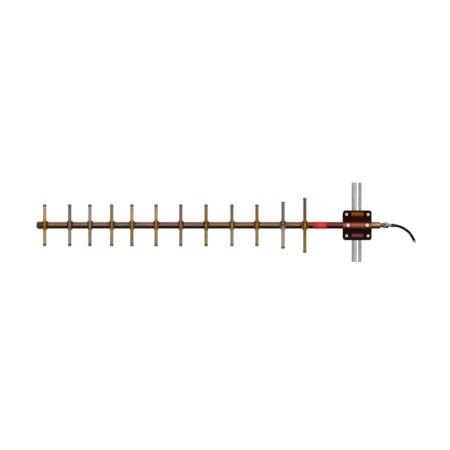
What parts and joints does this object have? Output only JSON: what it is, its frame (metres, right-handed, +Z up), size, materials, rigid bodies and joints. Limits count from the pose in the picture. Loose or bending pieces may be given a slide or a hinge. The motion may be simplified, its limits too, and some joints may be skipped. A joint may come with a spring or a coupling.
{
  "type": "yagi antenna",
  "caption": "Bronze-boomed directional yagi antenna on a short mast stub, with upright rod elements, mast clamp bracket, red band and coaxial pigtail.",
  "frame": {"origin": "centre of the mast stub's lower end", "axes": "+Z up along the mast; the boom lies along X in front of the mast on the -Y side, directors towards -X, coaxial feed towards +X"},
  "size_m": [1.4157, 0.0951, 0.297],
  "materials": {
    "mast_aluminium": "bright drawn tube",
    "bronze_boom": "bronze anodised, satin",
    "black_cap": "satin black moulding",
    "red_wrap": "glossy shrink sleeve",
    "bracket_bronze": "copper-brown coated pressed sheet",
    "bracket_casting": "near-black coated casting",
    "zinc_steel": "zinc plated",
    "black_zinc": "black zinc plate on steel washers",
    "stainless": "plain stainless",
    "brass_screws": "bright brass",
    "gold_rod": "gold anodised",
    "gold_casting": "gold-brown anodised casting",
    "brown_arm": "brown anodised",
    "tan_sleeve": "tan sleeve",
    "feed_block_plastic": "brown moulding",
    "dark_tips": "dark moulded caps",
    "bush_aluminium": "turned",
    "bronze_nickel": "bronze-toned plate",
    "nickel": "nickel plated",
    "pale_ferrule": "nickel plated crimp",
    "white_insulator": "white PTFE",
    "gold_contact": "gold plated",
    "gasket_rubber": "silicone rubber",
    "circuit_card": "solder-masked card",
    "inner_lead": "black lead",
    "cable_jacket": "black cable jacket"
  },
  "bodies": {
    "mast": {"mast_stub": "mast_aluminium"},
    "antenna": {"balun_card": "circuit_card", "boom_front_cap": "black_cap", "boom_rear_bush": "bush_aluminium", "boom_screw_nuts": "zinc_steel", "boom_screws": "stainless", "boom_tube": "bronze_boom", "bracket_cross_saddle": "bracket_casting", "bracket_front_plate": "bracket_bronze", "clamp_bolts": "zinc_steel", "clamp_head_washers": "black_zinc", "director_01": "gold_rod", "director_02": "gold_rod", "director_03": "gold_rod", "director_04": "gold_rod", "director_05": "gold_rod", "director_06": "gold_rod", "director_07": "gold_rod", "director_08": "gold_rod", "director_09": "gold_rod", "director_10": "gold_rod", "driven_lower_arm": "tan_sleeve", "driven_upper_arm": "brown_arm", "element_tip_caps": "dark_tips", "feed_block": "feed_block_plastic", "feed_nuts": "brass_screws", "feed_screws": "brass_screws", "inner_coax": "inner_lead", "n_jack_body": "bronze_nickel", "n_jack_contact": "gold_contact", "n_jack_insulator": "white_insulator", "red_band": "red_wrap", "reflector": "gold_rod", "saddle_director_01": "gold_casting", "saddle_director_02": "gold_casting", "saddle_director_03": "gold_casting", "saddle_director_04": "gold_casting", "saddle_director_05": "gold_casting", "saddle_director_06": "gold_casting", "saddle_director_07": "gold_casting", "saddle_director_08": "gold_casting", "saddle_director_09": "gold_casting", "saddle_director_10": "gold_casting", "saddle_nuts": "zinc_steel", "saddle_reflector": "gold_casting", "saddle_screws": "brass_screws"},
    "rear_jaw": {"bracket_rear_jaw": "bracket_casting", "clamp_rear_washers": "zinc_steel", "clamp_nuts": "zinc_steel"},
    "plug": {"plug_body": "nickel", "plug_gasket": "gasket_rubber", "plug_pin": "gold_contact", "plug_dielectric": "white_insulator", "plug_ferrule": "pale_ferrule", "pigtail_cable": "cable_jacket", "line_jack_body": "nickel", "line_jack_ferrule": "pale_ferrule", "line_jack_insulator": "white_insulator", "line_jack_contact": "gold_contact"},
    "coupling_nut": {"plug_coupling_nut": "nickel"}
  },
  "joints": [
    {"name": "azimuth_swivel", "type": "hinge", "parent": "mast", "child": "antenna", "pos_m": [0, 0, 0.137], "axis": [0, 0, 1], "continuous": true},
    {"name": "jaw_slide", "type": "slide", "parent": "antenna", "child": "rear_jaw", "axis": [0, 1, 0], "range_m": [0, 0.008]},
    {"name": "plug_slide", "type": "slide", "parent": "antenna", "child": "plug", "axis": [1, 0, 0], "range_m": [0, 0.0063]},
    {"name": "coupling_nut_turn", "type": "hinge", "parent": "plug", "child": "coupling_nut", "pos_m": [0.106, -0.036, 0.137], "axis": [1, 0, 0], "range_deg": [0, 2160]}
  ],
  "couplings": [
    {"joint": "coupling_nut_turn", "follows": "plug_slide", "rad_per_m": 5936.9}
  ]
}
